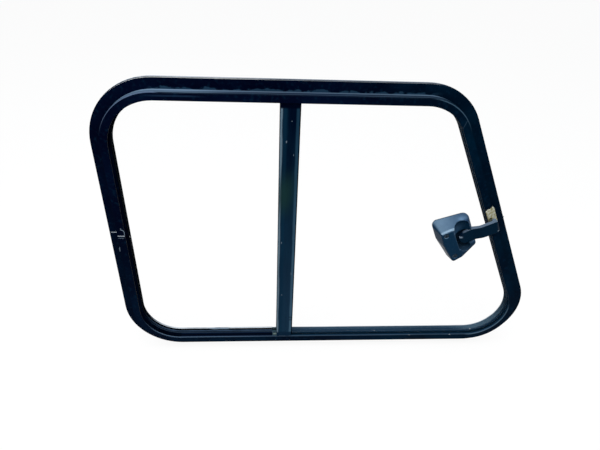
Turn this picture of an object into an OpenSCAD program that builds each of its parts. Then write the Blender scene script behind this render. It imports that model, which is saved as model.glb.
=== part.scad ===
// Half-sliding side window for a camper van, drawn in millimetres.
// Every piece is laid out flat: x runs along the sill, y runs up the window and z is the
// depth, positive towards the inside of the van. place() then stands the window up, so
// that the inside looks along -Y. The origin lies on the flange face that seats on the
// outer skin of the van, at the middle of the sill.

/* [Opening] */
// Height over the outer edge of the flange
frame_h = 500; // [400:1:650]
// Length of the sill over the flange, measured to the sharp lower corner
frame_w = 779; // [700:1:950]
// Lean of the front jamb away from upright, in degrees
jamb_lean = 26.5; // [0:0.5:32]
// Bend radius of the flange edge at the upper rear corner
bend_r_top_rear = 97; // [70:1:110]
// Bend radius of the flange edge at the other three corners
bend_r = 92; // [70:1:100]

/* [Frame profile] */
// Width of the flange that seats on the panel
flange_w = 15.5; // [10:0.5:22]
// Thickness of the flange
flange_t = 2.2; // [1.5:0.1:3]
// Height of the rolled bead along the flange edge
bead_h = 4; // [3:0.1:5]
// Width of the inside face of the frame
face_w = 11.8; // [10:0.1:14]
// Wall thickness of the profile
wall = 1.6; // [1.2:0.1:1.8]
// Width of the inner track, for the sliding pane
inner_track = 10; // [9.5:0.1:12]
// Width of the outer track, for the fixed pane
outer_track = 10.3; // [9.5:0.1:12]
// Height of the middle web above the flange face
web_z = 0.8; // [0:0.1:2]
// Height of the saw cut where the two ends of the frame meet
joint_z = 252; // [200:1:300]
// Width of that saw cut
joint_gap = 0.4; // [0.2:0.1:0.6]

/* [Glass] */
// Thickness of both panes
glass_t = 4; // [3:0.1:5]
// Depth of glass hidden in a track
glass_bite = 8; // [6:0.1:9]
// Clearance between a sliding surface and its liner
slip = 0.3; // [0.2:0.1:0.4]

/* [Meeting stiles] */
// Distance from the rear edge of the flange to the sliding stile
stile_x = 268.3; // [200:0.1:320]
// Width of the sliding stile
stile_w = 28.4; // [24:0.1:34]
// Height of the stile face above the flange face
stile_face_z = 13.5; // [13:0.1:14]
// Width of the stile of the fixed pane
rear_stile_w = 22; // [18:0.5:26]

/* [Latch] */
// Distance from the flange edge of the front jamb to the middle of the latch
latch_inset = 76; // [72:0.5:90]
// Height of the middle of the latch above the lower flange edge
latch_y = 257; // [220:1:290]
// Depth of the housing, from its pad to its face
housing_h = 24; // [23:0.5:28]
// Radius of the finger bowl in the housing
bowl_r = 14.5; // [12:0.5:15]
// Width of the lever
lever_w = 22; // [18:0.5:24]
// Thickness of the lever arm
lever_t = 6.5; // [5.5:0.1:7]
// Diameter of the hinge pin of the lever
pin_d = 4; // [3:0.1:5]
// Radial clearance of the pin in the lever
pin_slip = 0.06; // [0.03:0.01:0.1]

/* [Hidden] */
$fn = 96;

past = 20;
reed = 0.5;
drain_w = 12;
drain_h = 3;
drain_inset = 60;
drain_gap = 2;
liner_gap = 0.3;
face_z = web_z + wall + inner_track + wall;
back_z = web_z - outer_track - wall;
lip_n = flange_w + face_w;
floor_n = flange_w + wall;
glass_n = lip_n - glass_bite;
inner_z = web_z + wall + inner_track / 2;
outer_z = web_z - outer_track / 2;
top_w = frame_w - frame_h * tan(jamb_lean);
corners = [[0, 0], [frame_w, 0], [top_w, frame_h], [0, frame_h]];
radii = [bend_r, bend_r, bend_r, bend_r_top_rear];
turns = [90, 90 + jamb_lean, 90 - jamb_lean, 90];
headings = [0, 90 + jamb_lean, 180, 270];
sill_start = bend_centre(0)[0];
sill_end = bend_centre(1)[0];
seam_y = bend_centre(2)[1] - 30;

block_w = 8;
block_end = stile_x + stile_w;
fixed_edge = stile_x + stile_w / 2 + 4;
sliding_edge = stile_x + 8;
stile_foot = lip_n + slip;
stile_l = frame_h - 2 * stile_foot;
stile_back_z = web_z + wall + 0.6;
face = stile_face_z;
bead_r = 2;
sunk = 0.9;
seal_edge = 1.5;
channel_x = 6;
shoe_h = face_w - wall - 4;
shoe_reach = 6;

glass_face = inner_z + glass_t / 2;
glass_back = inner_z - glass_t / 2;
pad_t = 0.8;
plate_t = 2.5;
housing_z = glass_face + pad_t;
housing_top = housing_z + housing_h;
base_h = 4;
// Rounds that the housing is moulded over: x, y and radius at the glass, x and y at the
// top, and x, y and radius of the two at mid height
base_rounds = [[-27.5, 35, 9], [12, 28.5, 10.5], [16.5, -19.5, 5], [-22.5, -28.5, 8],
    [-29.5, 12, 8]];
grip_r = 4;
grip_rounds = [[-26.3, 26.5], [-13, 27.5], [-10.5, -26], [-23, -28.5], [-27.7, 4]];
mid_rounds = [[11, 28, 8], [15, -18.5, 5.5]];
mid_drop = 15;
screw_spots = [[-22.3, 23.5], [-19.8, -21.5]];
shank_d = 4;
head_d = 7;
head_sink = 4;
// Lever, in the latch's own directions: x towards the jamb and y up along it
lever_y0 = -12.6;
lever_gap = 0.5;
pivot_x = 17.5;
pivot_z = housing_z + 7.3;
knuckle_r = 4.3;
pin_top = lever_y0 + lever_w + 6.6;
pocket_x = -9.5;
small_r = 9.5;
bowl_x = pocket_x + bowl_r;
bowl_y = 22;
bowl_z = housing_top - 4;
tail_x = -4;
tail_t = 3.5;
tail_lift = 1.7;
waist_z = pivot_z + 4.8;
crank_l = 18;
arm_z = face_z + 12.5;
arm_reach = 60.5;
hook_l = 6;
strike_t = 1;
hook_z = face_z + strike_t + 1.2;
catch_gap = 1.3;
strike_x = latch_inset - lip_n + reed;
strike_w = face_w + 2;

function unit(a) = [cos(a), sin(a)];
// Distance from a sharp corner to where its bend starts
function bend_run(k) = radii[k] * tan(turns[k] / 2);
// Centre of the bend at corner k, to the nearest thousandth
function bend_centre(k) = [for (v = corners[k] + bend_run(k) * unit(headings[k])
    + radii[k] * unit(headings[k] + 90)) round(v * 1000) / 1000];
function lean_x(y) = frame_w - y * tan(jamb_lean);

module place() {
    translate([-(frame_w / 2), 0, -flange_w / 2]) rotate([90, 0, 0]) children();
}

// The plain outline of the window, drawn in by n from the flange edge
module outline(n) {
    polygon([for (k = [0:3]) each [
        bend_centre(k) + (radii[k] - n) * unit(headings[k] - turns[k] - 90),
        bend_centre(k) + (radii[k] - n) * unit(headings[k] - 90)]]);
    for (k = [0:3]) translate(bend_centre(k)) circle(radii[k] - n);
}

// A band that follows the frame, from n0 to n1 inside the flange edge and from depth z0 to
// z1, kept only where the flat shape given as its child lies
module band(n0, n1, z0, z1) {
    translate([0, 0, z0]) linear_extrude(z1 - z0) intersection() {
        difference() {
            outline(n0);
            outline(n1);
        }
        children();
    }
}

// Flat shapes that pick out a part of the frame
module everywhere() {
    translate([-past, -past]) square([frame_w + 2 * past, frame_h + 2 * past]);
}

module between(x0, x1) {
    translate([x0, -past]) square([x1 - x0, frame_h + 2 * past]);
}

// Everything but the gap that a saw left between the two ends of the bent frame
module but_for_the_joint() {
    difference() {
        everywhere();
        translate([-past, joint_z - joint_gap / 2]) square([lip_n + 2 * past, joint_gap]);
    }
}

// Slots in the outer lip that let water out of the sill
module drain_slots() {
    for (x = [sill_start + drain_inset, sill_end - drain_inset - drain_w])
        translate([x, floor_n, back_z - 1]) cube([drain_w, drain_h, wall + 2]);
}

module frame() {
    color("#101c2a") place() difference() {
        union() {
            band(0, floor_n, -flange_t, 0) but_for_the_joint();
            band(-1, 1, -bead_h, -1) but_for_the_joint();
            band(flange_w, floor_n, back_z + reed, face_z - reed) but_for_the_joint();
            band(flange_w, lip_n, face_z - wall, face_z - reed) but_for_the_joint();
            band(flange_w + 2 * reed, lip_n - reed, face_z - wall, face_z)
                but_for_the_joint();
            band(flange_w, lip_n, web_z, web_z + wall) but_for_the_joint();
            band(flange_w, lip_n, back_z + reed, back_z + wall) but_for_the_joint();
            band(flange_w + 4 * reed, lip_n - reed, back_z, back_z + wall)
                but_for_the_joint();
        }
        drain_slots();
    }
}

// Aluminium key that bridges the saw cut, pressed into the outer track behind the rubber
module frame_joint_key() {
    key_l = 50;
    key_t = 1.5;
    color("silver") place()
        translate([floor_n, joint_z - key_l / 2, web_z + wall])
        cube([key_t, key_l, inner_track]);
}

// Sheet between two depths, cut to the window outline and to a range of x
module pane(n, x0, x1, z_mid) {
    translate([0, 0, z_mid - glass_t / 2]) linear_extrude(glass_t) intersection() {
        outline(n);
        translate([x0, 0]) square([x1 - x0, frame_h]);
    }
}

module fixed_pane() {
    color("#c8d4d8", 0.35) place() pane(glass_n, 0, fixed_edge, outer_z);
}

// Rubber of U section that fills the outer track round the edge of the fixed pane
module track_rubber(top_n) {
    z0 = outer_z - outer_track / 2;
    band(floor_n + drain_gap, glass_n, z0, z0 + outer_track) children();
    band(glass_n - 1, top_n, z0, outer_z - glass_t / 2) children();
    band(glass_n - 1, top_n, outer_z + glass_t / 2, z0 + outer_track) children();
}

module fixed_pane_rubber() {
    rubber_lip = 1.5;
    color("#0a0f16") place() track_rubber(lip_n + rubber_lip)
        between(-past, stile_x - block_w);
}

// Upright of the fixed pane, behind the sliding one, with two reeds on its outer face
module fixed_stile() {
    past_glass = 3;
    x0 = fixed_edge + past_glass - rear_stile_w;
    z0 = back_z + 2 * reed + 0.2;
    color("#101c2a") place() difference() {
        translate([x0, stile_foot, z0])
            cube([rear_stile_w, stile_l, web_z + wall - 0.2 - z0]);
        translate([x0 - 1, stile_foot - 1, outer_z - glass_t / 2])
            cube([fixed_edge - x0 + 1, stile_l + 2, glass_t]);
        for (x = [x0 + rear_stile_w / 4, x0 + rear_stile_w * 3 / 4])
            translate([x, stile_foot - 1, z0]) rotate([-90, 0, 0])
            cylinder(r = reed, h = stile_l + 2);
    }
}

module meeting_pile() {
    pile_w = 8;
    color("#14161a") place()
        translate([stile_x + (stile_w - pile_w) / 2, stile_foot, web_z + wall - 0.2])
        cube([pile_w, stile_l, stile_back_z - web_z - wall + 0.2]);
}

module sliding_pane() {
    color("#c8d4d8", 0.35) place() difference() {
        pane(glass_n, sliding_edge, frame_w, inner_z);
        latch_frame() screw_holes(shank_d + 3);
    }
}

// Flat section of the sliding stile: a rounded bead, a sunk face, a flat land that slopes
// to the seal, and the channel that grips the glass
module stile_section() {
    land_x = stile_w * 0.58;
    metal_w = stile_w - seal_edge;
    seal_drop = 0.9;
    difference() {
        union() {
            polygon([[0, stile_back_z], [metal_w, stile_back_z], [metal_w, face - seal_drop],
                [land_x + 1, face], [land_x, face - sunk], [2 * bead_r - 1, face - sunk],
                [bead_r, face - 0.2], [0, face - bead_r]]);
            translate([bead_r, face - bead_r]) circle(bead_r);
        }
        translate([channel_x, inner_z - glass_t / 2 - 1]) square([stile_w, glass_t + 2]);
        translate([wall, stile_back_z + wall])
            square([channel_x - 2 * wall, face - stile_back_z - 3 * wall]);
    }
}

module sliding_stile() {
    color("#2a3a4a") place() translate([stile_x, stile_foot, 0]) rotate([90, 0, 0])
        mirror([0, 0, 1]) linear_extrude(stile_l) stile_section();
}

// Rubber that grips the glass inside the stile and shows as a thin edge beside it
module stile_rubber() {
    x0 = stile_x + channel_x;
    color("#0a0f16") place() difference() {
        translate([x0, stile_foot, inner_z - glass_t / 2 - 1])
            cube([stile_x + stile_w - x0, stile_l, glass_t + 2]);
        translate([sliding_edge, stile_foot - 1, inner_z - glass_t / 2])
            cube([stile_w, stile_l + 2, glass_t]);
    }
}

// Nylon shoe that guides the foot or head of the sliding stile in the inner track
module shoe(y0) {
    translate([stile_x - shoe_reach, y0, inner_z - glass_t / 2])
        cube([sliding_edge - stile_x + shoe_reach - slip, shoe_h, glass_t]);
}

module guide_shoe_lower() {
    color("#8fa09a") place() shoe(stile_foot - shoe_h);
}

module guide_shoe_upper() {
    color("#8fa09a") place() shoe(frame_h - stile_foot);
}

// Brushed liner of U section that fills the inner track round the sliding pane
module track_pile() {
    z0 = web_z + wall;
    slot = glass_t + 2 * slip;
    band(floor_n, glass_n - slip, z0, z0 + inner_track) children();
    band(floor_n + 1, lip_n, z0, inner_z - slot / 2) children();
    band(floor_n + 1, lip_n, inner_z + slot / 2, z0 + inner_track) children();
}

module track_liner_lower() {
    color("#0c1218") place() track_pile() translate([sill_start, 0])
        square([sill_end - sill_start, frame_h / 4]);
}

module track_liner_upper() {
    color("#0c1218") place() track_pile() translate([bend_centre(3)[0], seam_y])
        square([frame_w, frame_h]);
}

module track_liner_front() {
    low_x = sill_end + liner_gap;
    high_y = seam_y - liner_gap;
    color("#0c1218") place() track_pile() polygon([[low_x, 0], [frame_w, 0],
        [frame_w, high_y], [frame_w / 2, high_y], [frame_w / 2, frame_h / 4],
        [low_x, frame_h / 4]]);
}

// Rubber buffer that stops the sliding pane at the rear jamb
module rear_buffer() {
    buffer = [5, 30, 6];
    color("#0a0f16") place()
        translate([floor_n, frame_h * 0.3, inner_z - buffer[2] / 2]) cube(buffer);
}

// Strip that closes the empty outer track beside the sliding pane, ribbed along its length
module track_infill() {
    ribs = 4;
    z0 = outer_z - outer_track / 2;
    pitch = outer_track / ribs;
    color("#34485a") place() {
        band(floor_n + drain_gap, lip_n - reed, z0, z0 + outer_track)
            between(block_end, frame_w + past);
        for (k = [0 : ribs - 1])
            band(lip_n - 2 * reed, lip_n, z0 + k * pitch, z0 + (k + 0.6) * pitch)
                between(block_end, frame_w + past);
    }
}

// Foam blocks that close the outer track under and over the meeting stiles
module seal_block(y0) {
    track_rubber(lip_n) translate([stile_x - block_w, y0])
        square([block_end - stile_x + block_w, frame_h / 2]);
}

module seal_block_lower() {
    color("#7d8f92") place() seal_block(0);
}

module seal_block_upper() {
    color("#7d8f92") place() seal_block(frame_h / 2);
}

module latch_frame() {
    translate([lean_x(latch_y) - latch_inset / cos(jamb_lean), latch_y])
        rotate(jamb_lean) children();
}

module screw_holes(d) {
    for (spot = screw_spots) translate([each spot, -past]) cylinder(d = d, h = 4 * past);
}

// Flat outline of the housing where it meets the glass, drawn in by n
module base_outline(n) {
    hull() for (c = base_rounds) translate([c[0], c[1]]) circle(c[2] - n, $fn = 32);
}

module latch_pad() {
    color("#15181c") place() latch_frame() translate([0, 0, glass_face]) difference() {
        linear_extrude(pad_t) base_outline(0.5);
        translate([0, 0, -glass_face]) screw_holes(shank_d + 3);
    }
}

// Moulded body: a wide base that rises to a narrow grip face and a lower shoulder
module housing_body() {
    hull() {
        for (c = base_rounds) translate([c[0], c[1], housing_z])
            cylinder(r = c[2], h = base_h, $fn = 32);
        for (c = grip_rounds) translate([c[0], c[1], housing_top - grip_r])
            sphere(grip_r, $fn = 32);
        for (c = mid_rounds) translate([c[0], c[1], housing_top - mid_drop])
            sphere(c[2], $fn = 32);
    }
}

// Hollow that a ball-nosed cutter leaves, from y0 to y1
module scoop(x, y0, y1, z, r) {
    for (y = [y0, y1]) translate([x, y, z]) sphere(r);
    translate([x, y0, z]) rotate([-90, 0, 0]) cylinder(r = r, h = y1 - y0);
}

module hinge_bore(y0, y1) {
    translate([pivot_x, y0, pivot_z]) rotate([-90, 0, 0])
        cylinder(d = pin_d + 2 * pin_slip, h = y1 - y0);
}

module latch_housing() {
    color("#3a4c5e") place() latch_frame() difference() {
        housing_body();
        scoop(bowl_x, lever_y0 + lever_w, bowl_y, bowl_z, bowl_r);
        scoop(pocket_x + small_r, lever_y0, 0, bowl_z - 4, small_r);
        translate([pocket_x, lever_y0 - lever_gap, housing_z + wall])
            cube([latch_inset, lever_w + 2 * lever_gap, housing_h]);
        translate([0, 0, housing_top - head_sink]) for (spot = screw_spots)
            translate(spot) cylinder(d = head_d + 1, h = past);
        screw_holes(shank_d);
        hinge_bore(-latch_inset, pin_top);
    }
}

module latch_back_plate() {
    color("#101c2a") place() latch_frame() difference() {
        translate([0, 0, glass_back - plate_t]) linear_extrude(plate_t) base_outline(5);
        screw_holes(shank_d);
    }
}

module latch_screws() {
    head_h = 2.5;
    head_z = housing_top - head_sink;
    shank_z = glass_back - plate_t;
    color("silver") place() latch_frame() for (spot = screw_spots) translate(spot) {
        translate([0, 0, head_z]) cylinder(d = head_d, h = head_h);
        translate([0, 0, shank_z]) cylinder(d = shank_d, h = head_z - shank_z);
    }
}

module latch_pin() {
    pin_foot = lever_y0 - 10.5;
    color("silver") place() latch_frame() translate([pivot_x, pin_foot, pivot_z])
        rotate([-90, 0, 0]) cylinder(d = pin_d, h = pin_top - 0.5 - pin_foot);
}

// Heights of the lever's upper face and of its back, along its length
function ease(t) = t <= 0 ? 0 : t >= 1 ? 1 : t * t * (3 - 2 * t);
function lever_face(x) = waist_z + (arm_z - waist_z) * ease((x - pivot_x) / crank_l)
    + tail_lift * ease((pivot_x - x) / (pivot_x - tail_x));
function lever_back(x) = x < pivot_x
    ? lever_face(x) - tail_t - (lever_t - tail_t) * ease((x - tail_x) / (pivot_x - tail_x))
    : pivot_z - knuckle_r + 1
        + (arm_z - lever_t - pivot_z + knuckle_r - 1) * ease((x - pivot_x) / crank_l);

// Side view of the lever: tail, crank, arm and the hook at its end
module lever_section() {
    steps = [for (k = [0 : 24]) tail_x + (pivot_x + crank_l - tail_x) * k / 24];
    polygon([for (x = steps) [x, lever_face(x)], [arm_reach, arm_z],
        [arm_reach, hook_z], [arm_reach - hook_l, hook_z],
        [arm_reach - hook_l, arm_z - lever_t],
        for (k = [24 : -1 : 0]) [steps[k], lever_back(steps[k])]]);
}

// View of the lever from the front: a round tail and a slightly slanted end
module lever_outline() {
    round_x = tail_x + lever_w / 2;
    translate([round_x, lever_y0 + lever_w / 2]) circle(lever_w / 2);
    polygon([[round_x, lever_y0], [arm_reach - 3, lever_y0],
        [arm_reach, lever_y0 + lever_w], [round_x, lever_y0 + lever_w]]);
}

module latch_lever() {
    rib = 1.8;
    pocket_w = (lever_w - 3 * rib) / 2;
    color("#22323f") place() latch_frame() difference() {
        intersection() {
            union() {
                translate([0, lever_y0, 0]) rotate([90, 0, 0]) mirror([0, 0, 1])
                    linear_extrude(lever_w) lever_section();
                translate([pivot_x, lever_y0, pivot_z]) rotate([-90, 0, 0])
                    cylinder(r = knuckle_r, h = lever_w);
            }
            linear_extrude(housing_top + past) lever_outline();
        }
        for (y = [lever_y0 + rib, lever_y0 + 2 * rib + pocket_w])
            translate([pivot_x + crank_l, y, 0])
            cube([arm_reach - hook_l - rib - pivot_x - crank_l, pocket_w, arm_z - rib]);
        hinge_bore(lever_y0 - past, lever_y0 + lever_w + past);
    }
}

// Strike plate on the inside face of the front jamb, with its upper end broken off
module strike_plate() {
    color("#d8d2b8") place() latch_frame() translate([0, 0, face_z]) difference() {
        linear_extrude(strike_t) polygon([[strike_x, -20], [strike_x + strike_w, -20],
            [strike_x + strike_w, 28.5], [strike_x + strike_w - 1.2, 31.5],
            [strike_x + 8, 28.3], [strike_x + 4, 28.8], [strike_x, 26.5]]);
        translate([strike_x + 4.3, 9.7, -1]) cylinder(d = 3.4, h = strike_t + 2);
    }
}

// Rib of the strike plate that the hook of the lever holds behind
module strike_catch() {
    rib_w = 2;
    color("silver") place() latch_frame()
        translate([arm_reach - hook_l - catch_gap - rib_w, lever_y0 + 3, face_z + strike_t])
        cube([rib_w, lever_w - 6, 3]);
}

frame();
frame_joint_key();
fixed_pane();
fixed_pane_rubber();
fixed_stile();
meeting_pile();
sliding_pane();
sliding_stile();
stile_rubber();
guide_shoe_lower();
guide_shoe_upper();
track_liner_lower();
track_liner_upper();
track_liner_front();
rear_buffer();
track_infill();
seal_block_lower();
seal_block_upper();
latch_pad();
latch_housing();
latch_back_plate();
latch_screws();
latch_pin();
latch_lever();
strike_plate();
strike_catch();
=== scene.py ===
import math

import bmesh
import bpy
from mathutils import Matrix, Vector


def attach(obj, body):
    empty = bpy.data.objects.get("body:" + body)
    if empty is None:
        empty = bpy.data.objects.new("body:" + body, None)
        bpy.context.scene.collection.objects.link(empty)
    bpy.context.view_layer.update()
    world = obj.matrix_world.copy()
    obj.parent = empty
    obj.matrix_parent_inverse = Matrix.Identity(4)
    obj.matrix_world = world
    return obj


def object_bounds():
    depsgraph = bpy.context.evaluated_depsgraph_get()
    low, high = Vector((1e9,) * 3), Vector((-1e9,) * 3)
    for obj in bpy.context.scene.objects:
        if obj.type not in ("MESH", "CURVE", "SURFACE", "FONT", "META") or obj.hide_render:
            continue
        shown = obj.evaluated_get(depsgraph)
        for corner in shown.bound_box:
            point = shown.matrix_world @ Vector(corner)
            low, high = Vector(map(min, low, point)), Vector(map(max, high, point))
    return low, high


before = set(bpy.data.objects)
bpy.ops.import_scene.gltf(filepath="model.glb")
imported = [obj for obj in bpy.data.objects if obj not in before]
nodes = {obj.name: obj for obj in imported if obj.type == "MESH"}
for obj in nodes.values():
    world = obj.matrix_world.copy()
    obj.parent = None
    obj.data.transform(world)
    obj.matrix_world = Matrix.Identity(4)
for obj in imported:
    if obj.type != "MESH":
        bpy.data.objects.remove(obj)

cad_low, cad_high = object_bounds()

# The window is measured in millimetres from the corner of its flange below the rear jamb: x along
# the sill, y up, and depth from the flange towards the inside of the van
MM = 0.001
SILL_LENGTH = 779.0             # to where the lines of the sill and the leaning jamb meet
FLANGE_WIDTH = 15.5
JAMB_LEAN = math.radians(26.5)
FACE = 14.0                     # depth of the frame's inside face
STILE_LEFT = 268.3              # rear edge of the sliding stile
LATCH_UP = 257.0                # middle of the latch above the sill
LATCH_INSET = 76.0              # and behind the line of the leaning jamb
CORNER = Vector((-SILL_LENGTH / 2, 0.0, -FLANGE_WIDTH / 2)) * MM


def place(x, y, depth=0.0):
    """A measured point in the part's own frame, in metres."""
    return CORNER + Vector((x, -depth, y)) * MM


UPPER_REAR_BEND = place(97.0, 403.0)
UPPER_FRONT_BEND = place(472.8, 408.0)
LOWER_FRONT_BEND = place(630.3, 92.0)


# ---------------------------------------------------------------- shader nodes
class Shading:
    """A node tree and short ways to add nodes to it."""

    def __init__(self, owner):
        owner.use_nodes = True
        self.tree = owner.node_tree

    def feed(self, socket, value):
        """Links another node's output to the socket, or sets the socket to a plain value."""
        if isinstance(value, bpy.types.NodeSocket):
            self.tree.links.new(value, socket)
        else:
            socket.default_value = value

    def node(self, kind, inputs, **settings):
        """A new node with its settings, and with its inputs fed by name or number."""
        node = self.tree.nodes.new(kind)
        for setting, value in settings.items():
            setattr(node, setting, value)
        for socket, value in inputs.items():
            self.feed(node.inputs[socket], value)
        return node

    def math(self, operation, a, b=0.0):
        """One step of arithmetic on two values."""
        return self.node("ShaderNodeMath", {0: a, 1: b}, operation=operation).outputs[0]

    def times(self, product, *factors):
        """The product of any number of values."""
        for factor in factors:
            product = self.math("MULTIPLY", product, factor)
        return product

    def rays(self, path, *kinds):
        """1 for the rays of these kinds of a light path node, 0 for all others."""
        mask = path.outputs[kinds[0]]
        for kind in kinds[1:]:
            mask = self.math("MAXIMUM", mask, path.outputs[kind])
        return mask

    def blend(self, share, first, second, output):
        """The first shader turns into the second by the share, and goes to the output."""
        shaders = {0: share, 1: first.outputs[0], 2: second.outputs[0]}
        both = self.node("ShaderNodeMixShader", shaders)
        self.node(output, {0: both.outputs[0]})


class Finish(Shading):
    """A material in layers of colour, each laid on where its masks are 1.

    Places are in metres along the part's own axes. Depth is towards the inside of the van.
    """

    def __init__(self, name, color, roughness, metallic=0.0, specular=0.5):
        self.material = bpy.data.materials.new(name)
        super().__init__(self.material)
        self.shader = self.tree.nodes["Principled BSDF"]
        self.coords = self.node("ShaderNodeTexCoord", {}).outputs["Object"]
        self.normal = self.node("ShaderNodeNewGeometry", {}).outputs["Normal"]
        self.base(color)
        self.set("Roughness", roughness)
        self.set("Metallic", metallic)
        self.set("Specular IOR Level", specular)

    def set(self, socket, value):
        """Feeds a socket of the surface itself."""
        self.feed(self.shader.inputs[socket], value)

    def satin(self):
        """Tints reflections the blue of worn paint and plastic."""
        self.set("Specular Tint", (0.3, 0.6, 1.0, 1.0))

    def base(self, color):
        """Starts the surface with a colour, or goes on with one that is made of layers."""
        self.color = color
        self.set("Base Color", color)

    def lay(self, color, *masks):
        """Covers what is there with one more colour, where all masks let it."""
        self.base(self.mix(self.times(*masks), self.color, color))

    def mix(self, share, first, second):
        """The first colour turns into the second by the share."""
        colors = {0: share, 6: first, 7: second}
        return self.node("ShaderNodeMix", colors, data_type="RGBA").outputs[2]

    def axis(self, vector, letter):
        """One number of a vector."""
        return self.node("ShaderNodeSeparateXYZ", {0: vector}).outputs[letter]

    @property
    def x(self):
        """Place along the sill, from its middle towards the leaning jamb."""
        return self.axis(self.coords, "X")

    @property
    def depth(self):
        """Place from the flange towards the inside of the van."""
        return self.times(self.axis(self.coords, "Y"), -1.0)

    @property
    def height(self):
        """Place above the middle line of the sill's flange."""
        return self.axis(self.coords, "Z")

    @property
    def up(self):
        """How far the surface faces up, from -1 to 1."""
        return self.axis(self.normal, "Z")

    def rise(self, value, low, high, at_low=0.0, at_high=1.0):
        """Goes smoothly from at_low to at_high as the value goes from low to high."""
        inputs = {"Value": value, "From Min": low, "From Max": high,
                  "To Min": at_low, "To Max": at_high}
        node = self.node("ShaderNodeMapRange", inputs, interpolation_type="SMOOTHSTEP")
        return node.outputs["Result"]

    def fall(self, value, low, high):
        """Goes smoothly from 1 to 0 as the value goes from low to high."""
        return self.rise(value, low, high, 1.0, 0.0)

    def stretched(self, scale, middle=(0.0, 0.0, 0.0), turn=0.0):
        """Object coordinates from a middle, turned about Y and divided by the scale."""
        inputs = {"Vector": self.coords, "Location": middle, "Rotation": (0.0, turn, 0.0),
                  "Scale": scale}
        return self.node("ShaderNodeMapping", inputs, vector_type="TEXTURE").outputs[0]

    def noise(self, scale, detail=3.0, stretch=(1.0, 1.0, 1.0)):
        """Clouds of 0 to 1, drawn out along the axes by the stretch."""
        inputs = {"Vector": self.stretched(stretch), "Scale": scale, "Detail": detail}
        return self.node("ShaderNodeTexNoise", inputs).outputs["Fac"]

    def patch(self, centre, half, soft, turn=0.0, ragged=0.0):
        """1 inside an oblong, fading to 0 over the share soft of its half sizes."""
        local = self.stretched(half, centre, turn)
        if ragged:
            cloud = self.node("ShaderNodeTexNoise", {"Vector": self.coords, "Scale": 900.0})
            shift = {0: cloud.outputs["Color"], 1: (ragged,) * 3, 2: local}
            local = self.node("ShaderNodeVectorMath", shift, operation="MULTIPLY_ADD").outputs[0]
        sides = []
        for letter in "XYZ":
            distance = self.math("ABSOLUTE", self.axis(local, letter))
            sides.append(self.fall(distance, 1.0 - soft, 1.0 + soft))
        return self.times(*sides)

    def ring(self, centre, radius, half):
        """1 on a circle in the window's plane, fading to 0 at half its width."""
        across = self.math("SUBTRACT", self.x, centre.x)
        along = self.math("SUBTRACT", self.height, centre.z)
        squares = self.math("ADD", self.times(across, across), self.times(along, along))
        offset = self.math("SUBTRACT", self.math("SQRT", squares), radius)
        return self.fall(self.math("ABSOLUTE", offset), half * 0.6, half)

    def bump(self, height, strength, distance=0.0002):
        """Roughens the surface by a pattern that is this far from its lowest to its highest."""
        inputs = {"Strength": strength, "Distance": distance, "Height": height}
        self.set("Normal", self.node("ShaderNodeBump", inputs).outputs[0])

    def on(self, *names):
        """Puts the material on CAD nodes."""
        for name in names:
            slots = nodes[name].data.materials
            slots.clear()
            slots.append(self.material)


def rgba(r, g, b):
    """A colour given as 0 to 255 the way a screen shows it, as the linear values of a shader."""
    linear = []
    for value in (r, g, b):
        share = value / 255
        linear.append(share / 12.92 if share <= 0.04045 else ((share + 0.055) / 1.055) ** 2.4)
    return (*linear, 1.0)


# ---------------------------------------------------------------- the frame's paint
def lay_dust_and_highlights(finish, streak, settled):
    """Dust and painted highlight in two lines on the step of the top rail, and on the sill's lip
    and web.
    """
    rise, fall, times = finish.rise, finish.fall, finish.times
    x, depth, height = finish.x, finish.depth, finish.height
    gap = times(rise(depth, 0.0046, 0.0062), rise(x, -0.24, -0.1, 0.4, 0.88))
    back_line = times(finish.math("SUBTRACT", 1.0, gap), rise(x, -0.26, -0.17, 1.0, 0.55))
    front_line = times(rise(depth, 0.0085, 0.0098), fall(depth, 0.0138, 0.0148),
                       rise(x, -0.26, -0.17, 0.75, 0.2))
    on_step = times(finish.math("MAXIMUM", back_line, front_line),
                    rise(height, 0.3, 0.35), rise(x, 0.092, 0.118, 1.0, 0.12))
    on_lip = times(rise(depth, 0.012, 0.0125), rise(x, -0.2, -0.12, 0.85, 0.5))
    on_web = times(fall(depth, 0.003, 0.0035), rise(x, -0.14, -0.1, 0.22, 0.3))
    on_sill = times(finish.math("MAXIMUM", on_lip, on_web), fall(height, 0.3, 0.35))
    # Pale dust, partly a painted highlight, on the up-facing step lines, the lip and the web
    finish.lay(rgba(96, 120, 144), settled, finish.math("MAXIMUM", on_step, on_sill))

    # Pale film on the inner side of the sill's outer lip: dried sealant, painted near white to make
    # up for the shade it lies in
    finish.lay(rgba(222, 228, 234), fall(depth, -0.0088, -0.0082), fall(height, 0.08, 0.12),
               rise(finish.up, -0.2, 0.0), rise(streak, 0.2, 0.5, 0.6, 1.0))


def lay_tide_marks(finish):
    """Ragged marks on the flange, just outside the step of the top rail."""
    rise, fall = finish.rise, finish.fall
    x, depth, height = finish.x, finish.depth, finish.height
    spread = rise(height, 0.4768, 0.4835, 0.4, 0.7)
    marks = finish.math("SUBTRACT", finish.noise(120.0, 4.0, (1.5, 1.0, 1.0)), spread)
    finish.lay(rgba(40, 70, 94), rise(marks, 0.0, 0.08), 0.7,
               fall(finish.axis(finish.normal, "Y"), -0.9, -0.7), fall(depth, 0.0, 0.0006),
               rise(height, 0.4765, 0.4767), rise(x, -0.31, -0.28), fall(x, 0.07, 0.11))


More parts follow.
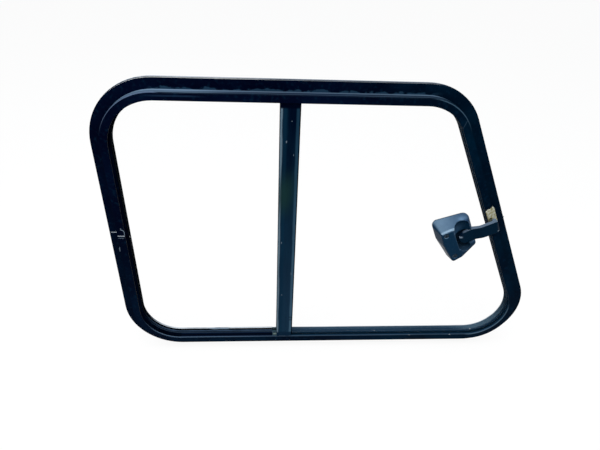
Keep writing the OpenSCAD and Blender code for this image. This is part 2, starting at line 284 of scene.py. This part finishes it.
def lay_painted_highlights(finish):
    """Painted highlights: the outer bead pale, edges bright in three bends, and a faint line up the
    rear jamb by the joint.
    """
    rise, fall, times, ring = finish.rise, finish.fall, finish.times, finish.ring
    x, depth, height = finish.x, finish.depth, finish.height
    rail = times(rise(height, 0.4905, 0.4915), rise(x, -0.2, -0.11, 1.0, 0.3))
    bend = times(ring(UPPER_REAR_BEND, 0.097, 0.0011), fall(x, -0.2935, -0.2925),
                 rise(x, -0.375, -0.35), rise(height, 0.42, 0.45))
    # Painted highlight along the top of the outer bead and round the upper rear bend
    finish.lay(rgba(236, 240, 244), finish.math("MAXIMUM", rail, bend),
               rise(depth, -0.0024, -0.0018), rise(depth, 0.0005, 0.002, 1.0, 0.3),
               rise(finish.up, 0.1, 0.5))

    # Painted highlights on the front edge of the reed: round the upper rear bend, a faint line up
    # the rear jamb, and round the upper and lower front bends
    front = rise(depth, 0.0126, 0.013)
    finish.lay(rgba(96, 114, 144), front, ring(UPPER_REAR_BEND, 0.0811, 0.0007),
               fall(x, -0.2925, -0.2825), rise(height, 0.412, 0.462))
    finish.lay(rgba(4, 9, 30), front, rise(x, -0.3743, -0.3739), fall(x, -0.3729, -0.3725),
               rise(height, 0.1, 0.38))
    finish.lay(rgba(66, 92, 112), front, ring(UPPER_FRONT_BEND, 0.0757, 0.0008),
               rise(x, 0.085, 0.11), rise(height, 0.424, 0.462))
    finish.lay(rgba(80, 104, 124), front, ring(LOWER_FRONT_BEND, 0.0652, 0.0007),
               rise(x, 0.235, 0.25), fall(height, 0.075, 0.1))


def frame_finish():
    """Satin black paint, navy at the rear and above, tealer at the front and below."""
    navy, teal = rgba(1, 4, 25), rgba(0, 14, 31)
    finish = Finish("black_frame_paint", navy, 0.42, specular=0.015)
    finish.satin()
    rise = finish.rise
    low_part = finish.times(rise(finish.height, 0.18, 0.3, 0.7, 0.0),
                            rise(finish.x, -0.34, -0.27, 0.45, 1.0))
    side = finish.math("MAXIMUM", rise(finish.x, -0.06, 0.12), low_part)
    finish.lay(teal, side)
    clouds = finish.mix(side, rgba(2, 12, 36), rgba(0, 26, 45))
    finish.lay(clouds, rise(finish.noise(16.0, 4.0), 0.35, 0.7))
    finish.lay(rgba(6, 34, 56), rise(finish.noise(190.0, 5.0), 0.5, 0.75, 0.0, 0.6))

    streak = finish.noise(70.0, 5.0, (12.0, 1.0, 1.0))
    settled = finish.times(rise(finish.up, 0.25, 0.95), rise(streak, 0.2, 0.8, 0.6, 1.0))
    lay_dust_and_highlights(finish, streak, settled)
    lay_tide_marks(finish)
    lay_painted_highlights(finish)
    # A pale smear on the inside face below the step
    smear = finish.patch((-0.255, -0.015, 0.4722), (0.032, 0.002, 0.0012), 0.5, ragged=0.6)
    finish.lay(rgba(40, 66, 96), smear, 0.45)

    finish.set("Roughness", rise(settled, 0.0, 1.0, 0.4, 0.85))
    drawn_grain = finish.times(finish.noise(240.0, 2.0, (6.0, 1.0, 6.0)), 0.6)
    finish.bump(finish.math("ADD", finish.noise(900.0, 2.0), drawn_grain), 0.15)
    return finish


# ---------------------------------------------------------------- other finishes
def stile_finish():
    """Dusty satin paint, with painted highlights along the rounded bead and the sloping land, dark
    in the middle.
    """
    finish = Finish("stile_paint_dust_and_highlights", rgba(0, 12, 33), 0.5, specular=0.01)
    finish.satin()
    rise, fall, height = finish.rise, finish.fall, finish.height
    left = place(STILE_LEFT, 0.0).x
    from_left = finish.math("SUBTRACT", finish.x, left)
    unevenness = finish.math("SUBTRACT", finish.noise(60.0, 4.0, (1.0, 1.0, 3.0)), 0.5)
    across = finish.math("ADD", from_left, finish.times(unevenness, 0.004))
    blotch = finish.noise(34.0, 5.0, (1.0, 1.0, 4.0))
    low = fall(height, 0.02, 0.46)
    finish.lay(rgba(26, 52, 74), low)
    finish.lay(rgba(12, 44, 66), fall(across, 0.0075, 0.0115), 0.6)
    finish.lay(rgba(22, 60, 84), rise(blotch, 0.4, 0.75, 0.0, 0.3))
    # Painted highlights, mixed with pale dust, on the sloping land and along the rounded bead
    finish.lay(finish.mix(low, rgba(30, 62, 84), rgba(66, 96, 118)), rise(across, 0.0216, 0.0236),
               fall(from_left, 0.0262, 0.0268), rise(blotch, 0.2, 0.7, 0.7, 1.0))
    finish.lay(rgba(104, 126, 142), fall(across, 0.0019, 0.0037),
               rise(blotch, 0.15, 0.6, 0.75, 1.0))

    # A greenish smudge above the middle, painted shadow under the top rail and painted shade at the
    # foot
    smudge = finish.patch((left + 0.0105, -0.0135, 0.328), (0.012, 0.02, 0.028), 0.9, 0.1, 0.5)
    finish.lay(rgba(28, 56, 54), smudge, 0.85)
    finish.lay(rgba(0, 5, 24), rise(height, 0.4562, 0.4592))
    finish.lay(rgba(16, 40, 62), fall(height, 0.0275, 0.0325))
    finish.set("Roughness", rise(blotch, 0.2, 0.8, 0.45, 0.75))
    finish.bump(finish.noise(700.0), 0.15)
    return finish


def glass_finish():
    """Clear glass that shows only where it is seen at a low angle."""
    finish = Finish("clear_glass_sheet", (0.9, 0.95, 0.95, 1.0), 0.03)
    facing = finish.node("ShaderNodeLayerWeight", {"Blend": 0.25}).outputs["Facing"]
    finish.set("Alpha", finish.rise(facing, 0.3, 1.0, 0.003, 0.4))
    return finish


def moulding_finish(name, shade, lit, far, roughness, scratch):
    """Moulded plastic: dust and painted light from above where it faces up, less so towards the
    jamb, with a fine grain.
    """
    finish = Finish(name, shade, roughness, specular=0.05)
    finish.satin()
    rise = finish.rise
    cloud = finish.noise(70.0, 4.0)
    # Painted light from above, mixed with dust, on the up-facing sides: the lit colour near the
    # body, the far one towards the jamb
    dust_and_toplight = finish.mix(rise(finish.x, 0.134, 0.17), lit, far)
    finish.lay(dust_and_toplight, rise(finish.up, 0.05, 0.6), rise(cloud, 0.2, 0.75, 0.82, 1.0))
    finish.lay(rgba(84, 104, 124), rise(finish.noise(420.0, 2.0), 0.62, 0.72, 0.0, scratch))
    finish.set("Roughness", rise(cloud, 0.2, 0.8, roughness - 0.05, roughness + 0.12))
    finish.bump(finish.noise(1500.0, 2.0), 0.1, 0.0001)
    return finish


def housing_finish():
    """The latch's moulding: a painted highlight along the front edge, painted light and shade in
    its hollows.
    """
    finish = moulding_finish("latch_moulding", rgba(12, 46, 72), rgba(97, 122, 145),
                             rgba(62, 86, 112), 0.26, 0.08)
    rise, fall, depth = finish.rise, finish.fall, finish.depth
    # Painted highlight along the rounded edge between the top and the front
    finish.lay(rgba(142, 168, 190), rise(depth, 0.03, 0.0315), fall(depth, 0.0328, 0.0337),
               rise(finish.up, 0.15, 0.4), rise(finish.noise(120.0, 3.0), 0.2, 0.6, 0.6, 1.0),
               rise(finish.height, 0.2585, 0.262))
    hollows = (
        # painted highlight on the upper rim of the bowl, painted shade under it, painted sheen low
        # in the bowl, painted shade in the scoop below
        (rgba(104, 136, 168), 0.9, (0.1722, -0.0228, 0.2864), (0.0075, 0.0045, 0.0026), 0.9),
        (rgba(14, 44, 76), 0.85, (0.177, -0.0245, 0.2832), (0.006, 0.006, 0.0045), 0.7),
        (rgba(44, 74, 102), 0.9, (0.169, -0.0164, 0.264), (0.007, 0.008, 0.0065), 0.9),
        (rgba(9, 30, 46), 0.85, (0.1825, -0.015, 0.2335), (0.0145, 0.015, 0.0175), 0.5))
    for tone, share, centre, half, soft in hollows:
        finish.lay(tone, finish.patch(centre, half, soft, ragged=0.15), share)
    return finish


def lever_finish():
    """The lever's moulding, with painted shade at the round of its tail and a painted glint beside
    it.
    """
    # Dust and painted light from above on the lever's up-facing sides
    dust_and_light = rgba(88, 104, 122)
    finish = moulding_finish("lever_moulding", rgba(0, 27, 46), dust_and_light, dust_and_light, 0.3, 0.05)
    finish.set("Specular IOR Level", 0.04)
    # Painted shade at the round of the tail
    shaded = finish.patch((0.1738, -0.0215, 0.2572), (0.0042, 0.006, 0.0036), 0.5, ragged=0.1)
    finish.lay(rgba(4, 22, 42), shaded)
    # Painted glint beside it
    glint = finish.patch((0.1718, -0.0235, 0.2519), (0.0056, 0.006, 0.0014), 0.4, 0.12)
    finish.lay(rgba(132, 150, 168), glint)
    return finish


def infill_finish():
    """Ribbed rubber under grey dust and painted light from above, both thinning towards the inside
    and where it stands upright.
    """
    finish = Finish("ribbed_infill", rgba(6, 24, 40), 0.8, specular=0.02)
    rise = finish.rise
    streak = finish.noise(55.0, 5.0, (7.0, 1.0, 1.0))
    # Grey dust mixed with painted light from above, laid on by how far each surface faces up
    dust_and_skylight = finish.mix(finish.fall(finish.depth, -0.009, 0.001), rgba(26, 56, 82), rgba(68, 92, 112))
    dust_and_skylight = finish.mix(rise(finish.x, 0.21, 0.27), dust_and_skylight, rgba(84, 112, 132))
    ribs = finish.math("SINE", finish.times(finish.depth, -2400.0))
    dust_and_skylight = finish.mix(rise(ribs, 0.2, 0.9, 0.0, 0.35), dust_and_skylight, rgba(22, 52, 74))
    finish.lay(dust_and_skylight, rise(finish.up, -0.6, 0.9), rise(streak, 0.2, 0.75, 0.7, 1.0))
    finish.bump(finish.noise(600.0), 0.2)
    return finish


def rubber_finish(name, shade, dust_and_toplight):
    """Dull rubber with patchy dust and painted light on its upper sides, paler outside above the
    sill.
    """
    finish = Finish(name, shade, 0.75, specular=0.01)
    rise, fall = finish.rise, finish.fall
    patchy = finish.noise(120.0, 5.0, (3.0, 1.0, 1.0))
    # Patchy dust and painted light from above on the up-facing sides
    dust_and_light = finish.times(rise(finish.up, 0.1, 0.95), rise(patchy, 0.3, 0.7, 0.6, 1.0))
    finish.lay(dust_and_toplight, dust_and_light)
    finish.lay(rgba(196, 204, 212), dust_and_light, fall(finish.depth, -0.006, -0.0045),
               fall(finish.height, 0.03, 0.06))
    finish.bump(finish.noise(800.0), 0.25)
    return finish


def liner_finish():
    """Brushed pile of the track: near black at the rear, a paler teal in front of the stile."""
    finish = Finish("track_pile", rgba(8, 20, 42), 0.9, specular=0.01)
    hairs = finish.noise(420.0, 4.0, (1.0, 0.3, 1.0))
    finish.lay(rgba(14, 44, 66), finish.rise(finish.x, -0.125, -0.1))
    finish.lay(rgba(2, 14, 30), finish.rise(hairs, 0.3, 0.8, 0.0, 0.6))
    finish.bump(hairs, 0.4, 0.0004)
    return finish


def strike_finish():
    """Yellowed plastic, dirty round its hole and dark over its lower part."""
    finish = Finish("worn_strike", rgba(206, 206, 190), 0.6, specular=0.3)
    stain = finish.noise(260.0, 4.0)
    finish.lay(rgba(146, 138, 86), finish.rise(stain, 0.35, 0.65))
    hole = finish.patch((0.2205, -0.0158, 0.279), (0.0036, 0.002, 0.0036), 0.6, ragged=0.5)
    finish.lay(rgba(52, 66, 60), hole, 0.75)
    lower = finish.patch((0.2287, -0.0158, 0.2535), (0.02, 0.004, 0.0205), 0.06, -JAMB_LEAN)
    finish.lay(rgba(4, 24, 42), lower)
    finish.bump(stain, 0.3, 0.0003)
    return finish


def plain_finish(name, color, roughness, metallic=0.0, specular=0.4):
    """One colour with soft darker clouds, patchy gloss and a fine grain."""
    dark = (*[value * 0.6 for value in color[:3]], 1.0)
    finish = Finish(name, dark, roughness, metallic, specular)
    cloud = finish.noise(40.0, 4.0)
    finish.lay(color, cloud)
    finish.set("Roughness", finish.rise(cloud, 0.2, 0.8, roughness - 0.08, roughness + 0.12))
    finish.bump(finish.noise(500.0), 0.2)
    return finish


frame_finish().on("frame")
stile_finish().on("sliding_stile")
glass_finish().on("fixed_pane", "sliding_pane")
plain_finish("stile_rear_paint", rgba(4, 18, 38), 0.5, specular=0.03).on("fixed_stile")
rubber_finish("black_rubber", rgba(2, 8, 16), rgba(46, 64, 86)).on(
    "fixed_pane_rubber", "stile_rubber", "rear_buffer")
rubber_finish("pile_strip", rgba(2, 10, 22), rgba(14, 40, 62)).on("meeting_pile", "latch_pad")
liner_finish().on("track_liner_lower", "track_liner_upper", "track_liner_front")
infill_finish().on("track_infill")
plain_finish("foam_block", rgba(56, 82, 94), 0.9, specular=0.05).on(
    "seal_block_lower", "seal_block_upper")
plain_finish("nylon_shoe", rgba(104, 124, 122), 0.6).on("guide_shoe_lower", "guide_shoe_upper")
housing_finish().on("latch_housing")
lever_finish().on("latch_lever")
plain_finish("back_plate_moulding", rgba(12, 22, 34), 0.5).on("latch_back_plate")
strike_finish().on("strike_plate")
plain_finish("plain_steel", rgba(150, 155, 160), 0.35, metallic=1.0).on(
    "latch_screws", "latch_pin", "strike_catch", "frame_joint_key")


def soften(name, voxel, rounds):
    """Rounds the edges of a moulded node: it is welded, rebuilt in small cells and smoothed."""
    part = nodes[name]
    part.modifiers.new("weld", "WELD").merge_threshold = 0.01 * MM
    cells = part.modifiers.new("cells", "REMESH")
    cells.mode = "VOXEL"
    cells.voxel_size = voxel * MM
    cells.use_smooth_shade = True
    smooth = part.modifiers.new("smooth", "SMOOTH")
    smooth.factor = 0.5
    smooth.iterations = rounds


soften("latch_housing", 0.55, 10)
soften("latch_lever", 0.5, 6)


# ---------------------------------------------------------------- marks and small fittings
def finished(bm, name, material, body="window"):
    """Turns a bmesh into a piece that rides on a body, with its faces outwards."""
    bmesh.ops.remove_doubles(bm, verts=bm.verts, dist=1e-7)
    bmesh.ops.recalc_face_normals(bm, faces=bm.faces)
    mesh = bpy.data.meshes.new(name)
    bm.to_mesh(mesh)
    bm.free()
    mesh.materials.append(material)
    piece = bpy.data.objects.new(name, mesh)
    bpy.context.scene.collection.objects.link(piece)
    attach(piece, body)


def seat(spot, turn=0.0, up=False):
    """Where a flat mark lies: turned in the window's plane, or lying on what faces up."""
    matrix = Matrix.Translation(place(*spot)) @ Matrix.Rotation(-math.radians(turn), 4, "Y")
    if not up:
        matrix = matrix @ Matrix.Rotation(math.radians(90.0), 4, "X")
    return matrix


def add_bar(name, material, spot, size, turn=0.0, up=False):
    """A thin bar with softened edges: its size is length, width and how far it stands out."""
    bm = bmesh.new()
    thick = size[2] * MM
    bmesh.ops.create_cube(bm, size=1.0)
    bmesh.ops.scale(bm, vec=Vector(size) * MM, verts=bm.verts)
    bmesh.ops.translate(bm, vec=(0.0, 0.0, thick / 2), verts=bm.verts)
    bmesh.ops.bevel(bm, geom=bm.edges[:], offset=thick * 0.3, segments=1, profile=0.5,
                    affect="EDGES", material=-1)
    bmesh.ops.transform(bm, matrix=seat(spot, turn, up), verts=bm.verts)
    finished(bm, name, material)


def flake(bm, matrix, long, wide, thick, phase):
    """A flat fleck with an uneven outline, smaller at the top."""
    foot = bmesh.ops.create_circle(bm, cap_ends=True, radius=0.5, segments=14)["verts"]
    for index, vert in enumerate(foot):
        wobble = 0.22 * math.sin(2.3 * index + phase) + 0.14 * math.sin(5.1 * index + 2.0 * phase)
        vert.co *= 1.0 + wobble
    bmesh.ops.scale(bm, vec=(long * MM, wide * MM, 1.0), verts=foot)
    raised = bmesh.ops.extrude_face_region(bm, geom=[foot[0].link_faces[0]])["geom"]
    top = [item for item in raised if isinstance(item, bmesh.types.BMVert)]
    bmesh.ops.translate(bm, vec=(0.0, 0.0, thick * MM), verts=top)
    bmesh.ops.scale(bm, vec=(0.8, 0.8, 1.0), verts=top)
    bmesh.ops.transform(bm, matrix=matrix, verts=foot + top)


def add_flakes(name, material, thick, spots, up=False, body="window"):
    """Flecks in one piece. A spot is x, y, depth, length, width and turn."""
    bm = bmesh.new()
    for index, (x, y, depth, long, wide, turn) in enumerate(spots):
        flake(bm, seat((x, y, depth), turn, up), long, wide, thick, 1.7 * index + 0.4)
    finished(bm, name, material, body)


def add_drop(name, material, spot, long, wide, turn):
    """A run that ends in a drop: a ball drawn out upwards and pressed flat."""
    bm = bmesh.new()
    bmesh.ops.create_uvsphere(bm, u_segments=16, v_segments=12, radius=0.5)
    for vert in bm.verts:
        vert.co.x *= 1.0 - 0.8 * (vert.co.y + 0.5)
    bmesh.ops.scale(bm, vec=(wide * MM, long * MM, 0.5 * MM), verts=bm.verts)
    bmesh.ops.transform(bm, matrix=seat(spot, turn), verts=bm.verts)
    finished(bm, name, material)


bare_metal = plain_finish("bare_cut_metal", rgba(176, 186, 196), 0.4, metallic=0.6).material
pale_scuff = plain_finish("pale_scuff", rgba(124, 142, 158), 0.8, specular=0.1).material
dull_scuff = plain_finish("dull_scuff", rgba(44, 64, 84), 0.8, specular=0.05).material
white_fleck = plain_finish("white_fleck", rgba(214, 220, 224), 0.8, specular=0.1).material
dark_cut = plain_finish("dark_cut", rgba(2, 8, 18), 0.8, specular=0.05).material


def half_moon():
    """A scratched arc of worn metal, drawn as a thin round section along part of a circle."""
    bm = bmesh.new()
    section = bmesh.ops.create_circle(bm, radius=0.45 * MM, segments=6)["verts"]
    upright = Matrix.Rotation(math.radians(90.0), 3, "X")
    bmesh.ops.rotate(bm, verts=section, cent=(0.0, 0.0, 0.0), matrix=upright)
    bmesh.ops.translate(bm, verts=section, vec=(5.2 * MM, 0.0, 0.0))
    bmesh.ops.spin(bm, geom=bm.edges[:], cent=(0.0, 0.0, 0.0), axis=(0.0, 0.0, 1.0),
                   angle=math.radians(112.0), steps=14)
    bmesh.ops.scale(bm, vec=(1.0, 1.7, 0.3), verts=bm.verts)
    bmesh.ops.holes_fill(bm, edges=bm.edges[:])
    bmesh.ops.transform(bm, matrix=seat((21.2, 256.2, FACE), -22.0), verts=bm.verts)
    finished(bm, "joint_half_moon", pale_scuff)


def frame_joint_marks():
    """Bare ends at the saw cut in the rear jamb, with scratches, a chip and a run of sealant."""
    add_bar("joint_edge_on_flange", bare_metal, (6.2, 251.4, 0.0), (9.0, 1.5, 0.15), -1.0)
    add_bar("joint_edge_on_face", bare_metal, (21.3, 253.3, FACE), (11.0, 1.4, 0.12), -2.0)
    half_moon()
    add_bar("joint_scratch_below", pale_scuff, (20.9, 249.2, FACE), (9.0, 0.6, 0.06), -2.0)
    add_flakes("joint_chip", pale_scuff, 0.06, [(22.6, 266.4, FACE, 1.8, 3.0, 10.0)])
    add_drop("joint_sealant_run", pale_scuff, (11.9, 222.5, 0.0), 19.0, 5.4, -15.0)
    add_flakes("rubber_nick", white_fleck, 0.3, [(28.6, 241.0, -2.2, 1.3, 6.5, 4.0)])


def corner_seam():
    """Faint line across the face at the upper front bend, where two lengths of section meet."""
    add_bar("corner_seam", dull_scuff, (530.9, 447.6, FACE), (13.0, 0.9, 0.08), 72.0)


def stile_wear():
    """Chips in the paint and two saw marks near the foot of the sliding stile."""
    add_flakes("stile_chips", pale_scuff, 0.1, [
        (284.4, 447.0, 12.7, 1.1, 2.0, 10.0), (277.4, 416.0, 12.7, 1.8, 3.6, -12.0),
        (288.2, 396.0, 13.2, 0.9, 3.4, 4.0), (273.4, 240.0, 12.7, 1.1, 4.2, 0.0),
        (291.0, 176.0, 13.1, 1.0, 5.0, 3.0), (276.2, 128.0, 12.7, 1.3, 2.4, 20.0)])
    add_bar("stile_saw_mark_upper", dark_cut, (290.2, 74.6, 12.75), (12.4, 1.5, 0.35), 2.0)
    add_bar("stile_saw_mark_lower", dark_cut, (290.8, 68.2, 12.75), (11.6, 1.3, 0.35), 1.0)


def sill_marks():
    """Old sealant smeared on the rear of the sill, flecks along it and a nick in the bead."""
    add_flakes("sill_sealant_smear", pale_scuff, 0.12,
               [(161.0, 28.85, -6.4, 38.0, 4.6, 0.0)], up=True)
    add_flakes("sill_flecks", white_fleck, 0.2, [
        (642.6, 28.7, 1.2, 2.2, 1.8, 0.0), (598.0, 27.35, 14.2, 1.6, 1.2, 0.0),
        (520.0, 27.35, 14.2, 1.8, 0.9, 0.0), (455.0, 27.35, 2.0, 1.4, 1.0, 0.0)], up=True)
    add_flakes("bead_nick", white_fleck, 0.15, [(636.0, 287.2, 4.0, 1.6, 3.6, 27.0)])


def seal_plug():
    """Piece of foam pushed into the inner track against the stile's foot, its cut end pale."""
    bm = bmesh.new()
    bmesh.ops.create_cube(bm, size=1.0)
    bmesh.ops.scale(bm, vec=(7.2 * MM, 9.6 * MM, 9.0 * MM), verts=bm.verts)
    top = [face for face in bm.faces if face.normal.z > 0.9]
    bmesh.ops.inset_region(bm, faces=top, thickness=1.2 * MM, depth=-0.6 * MM)
    bmesh.ops.bevel(bm, geom=bm.edges[:], offset=0.5 * MM, offset_type="OFFSET", segments=2,
                    profile=0.5, affect="EDGES", material=-1)
    spot = Matrix.Translation(place(264.3, 23.4, 7.4))
    bmesh.ops.transform(bm, matrix=spot, verts=bm.verts)
    finished(bm, "seal_plug", nodes["seal_block_lower"].material_slots[0].material)
    add_bar("seal_plug_cut_end", pale_scuff, (260.6, 27.95, 7.4), (9.4, 0.8, 0.2), 90.0, up=True)


def latch_spot(x, y, depth):
    """A point given in the latch's own directions: x towards the jamb and y up along it."""
    sine, cosine = math.sin(JAMB_LEAN), math.cos(JAMB_LEAN)
    middle = SILL_LENGTH - LATCH_UP * math.tan(JAMB_LEAN) - LATCH_INSET / cosine
    return (middle + x * cosine - y * sine, LATCH_UP + x * sine + y * cosine, depth)


def screw_dome(name, steel, spot):
    """The upper half of a ball, pressed flat."""
    bm = bmesh.new()
    bmesh.ops.create_uvsphere(bm, u_segments=28, v_segments=14, radius=3.4 * MM)
    bmesh.ops.bisect_plane(bm, geom=bm.verts[:] + bm.edges[:] + bm.faces[:],
                           plane_co=(0, 0, 0), plane_no=(0, 0, -1), clear_outer=True)
    bmesh.ops.scale(bm, vec=(1.0, 1.0, 0.3), verts=bm.verts)
    bmesh.ops.holes_fill(bm, edges=bm.edges[:])
    bmesh.ops.transform(bm, matrix=seat(spot), verts=bm.verts)
    finished(bm, name, steel)


def screw_cross(name, spot):
    """A dark cross that stands in as painted shade for the cross recess of a screw head."""
    bm = bmesh.new()
    for turn in (20.0, 110.0):
        arm = bmesh.ops.create_cube(bm, size=1.0)["verts"]
        bmesh.ops.scale(bm, vec=(3.8 * MM, 0.9 * MM, 0.5 * MM), verts=arm)
        turned = Matrix.Rotation(math.radians(turn), 3, "Z")
        bmesh.ops.rotate(bm, verts=arm, cent=(0, 0, 0), matrix=turned)
    bmesh.ops.transform(bm, matrix=seat(spot), verts=bm.verts)
    finished(bm, name, dark_cut)


def latch_screw_heads():
    """A domed head on each screw of the latch, with a dark cross of painted shade for its recess.
    """
    steel = plain_finish("screw_head_steel", rgba(46, 66, 84), 0.25, metallic=0.8).material
    head_depth, cross_rise = 32.7, 0.85
    for which, (x, y) in (("upper", (-22.3, 23.5)), ("lower", (-19.8, -21.5))):
        screw_dome("screw_dome_" + which, steel, latch_spot(x, y, head_depth))
        screw_cross("screw_cross_" + which, latch_spot(x, y, head_depth + cross_rise))


def lever_marks():
    """A painted glint: a bright spot by the lever's end."""
    glint_material = plain_finish("glint_spot_plastic", rgba(150, 168, 186), 0.5).material
    # Painted glint as a thin pale fleck on the lever
    end = latch_spot(57.6, -9.4, 26.5)
    add_flakes("lever_glint_spot", glint_material, 0.12, [(*end, 1.7, 1.5, 10.0)], body="latch_lever")


frame_joint_marks()
corner_seam()
stile_wear()
sill_marks()
seal_plug()
latch_screw_heads()
lever_marks()


# ---------------------------------------------------------------- floor, light and camera
def stage_material(name, shadow_share):
    """White to the camera, in mirrors and through glass, with a share of the shadow on it.

    To the light that bounces off it on to the window, the floor is a mid grey.
    """
    material = bpy.data.materials.new(name)
    shading = Shading(material)
    shading.tree.nodes.clear()
    path = shading.node("ShaderNodeLightPath", {})
    seen = shading.rays(path, "Is Camera Ray", "Is Glossy Ray", "Is Transmission Ray")
    shade = shading.node("ShaderNodeMapRange", {"Value": seen, "To Min": 0.4, "To Max": 1.0})
    matt = shading.node("ShaderNodeBsdfDiffuse", {"Color": shade.outputs["Result"]})
    glow = shading.node("ShaderNodeEmission", {"Strength": 1.0})
    share = shading.times(seen, 1.0 - shadow_share)
    shading.blend(share, matt, glow, "ShaderNodeOutputMaterial")
    return material


def make_floor():
    """A wide white floor, just below the window so that the two don't share a plane."""
    bm = bmesh.new()
    bmesh.ops.create_grid(bm, x_segments=1, y_segments=1, size=14.0)
    mesh = bpy.data.meshes.new("studio_floor")
    bm.to_mesh(mesh)
    bm.free()
    mesh.transform(Matrix.Translation((0.0, 0.0, cad_low.z - 0.5 * MM)))
    mesh.materials.append(stage_material("white_floor", 0.08))
    floor = bpy.data.objects.new("studio_floor", mesh)
    bpy.context.scene.collection.objects.link(floor)


def make_world():
    """Dim bluish daylight all round, white where the camera sees it."""
    world = bpy.data.worlds.new("studio_world")
    bpy.context.scene.world = world
    shading = Shading(world)
    shading.tree.nodes.clear()
    path = shading.node("ShaderNodeLightPath", {})
    seen = shading.rays(path, "Is Camera Ray", "Is Transmission Ray")
    dim = shading.node("ShaderNodeBackground", {"Color": (0.93, 0.97, 1.0, 1.0), "Strength": 0.55})
    white = shading.node("ShaderNodeBackground", {"Color": (1.0, 1.0, 1.0, 1.0)})
    shading.blend(seen, dim, white, "ShaderNodeOutputWorld")


def make_lamp(name, spot, aim, size, power):
    """A square soft light at the spot, turned to the aim."""
    lamp = bpy.data.lights.new(name, "AREA")
    lamp.shape = "SQUARE"
    lamp.size = size
    lamp.energy = power
    holder = bpy.data.objects.new(name, lamp)
    bpy.context.scene.collection.objects.link(holder)
    holder.location = spot
    holder.rotation_euler = (aim - spot).to_track_quat("-Z", "Y").to_euler()


def make_camera():
    """The camera of the photograph: above the window, left of its middle and looking down."""
    data = bpy.data.cameras.new("photo_camera")
    data.lens = 28.574
    data.sensor_width = 36.0
    data.dof.use_dof = False
    camera = bpy.data.objects.new("photo_camera", data)
    bpy.context.scene.collection.objects.link(camera)
    camera.location = (-0.137352, -0.644198, 0.681078)
    camera.rotation_euler = [math.radians(angle) for angle in (56.8114, -2.2769, -3.0539)]
    bpy.context.scene.camera = camera


make_floor()
make_world()
make_lamp("soft_top_light", Vector((-0.3, -0.5, 2.2)), Vector((0.0, 0.0, 0.2)), 1.6, 45.0)
make_camera()
bpy.context.scene.view_settings.view_transform = "Standard"
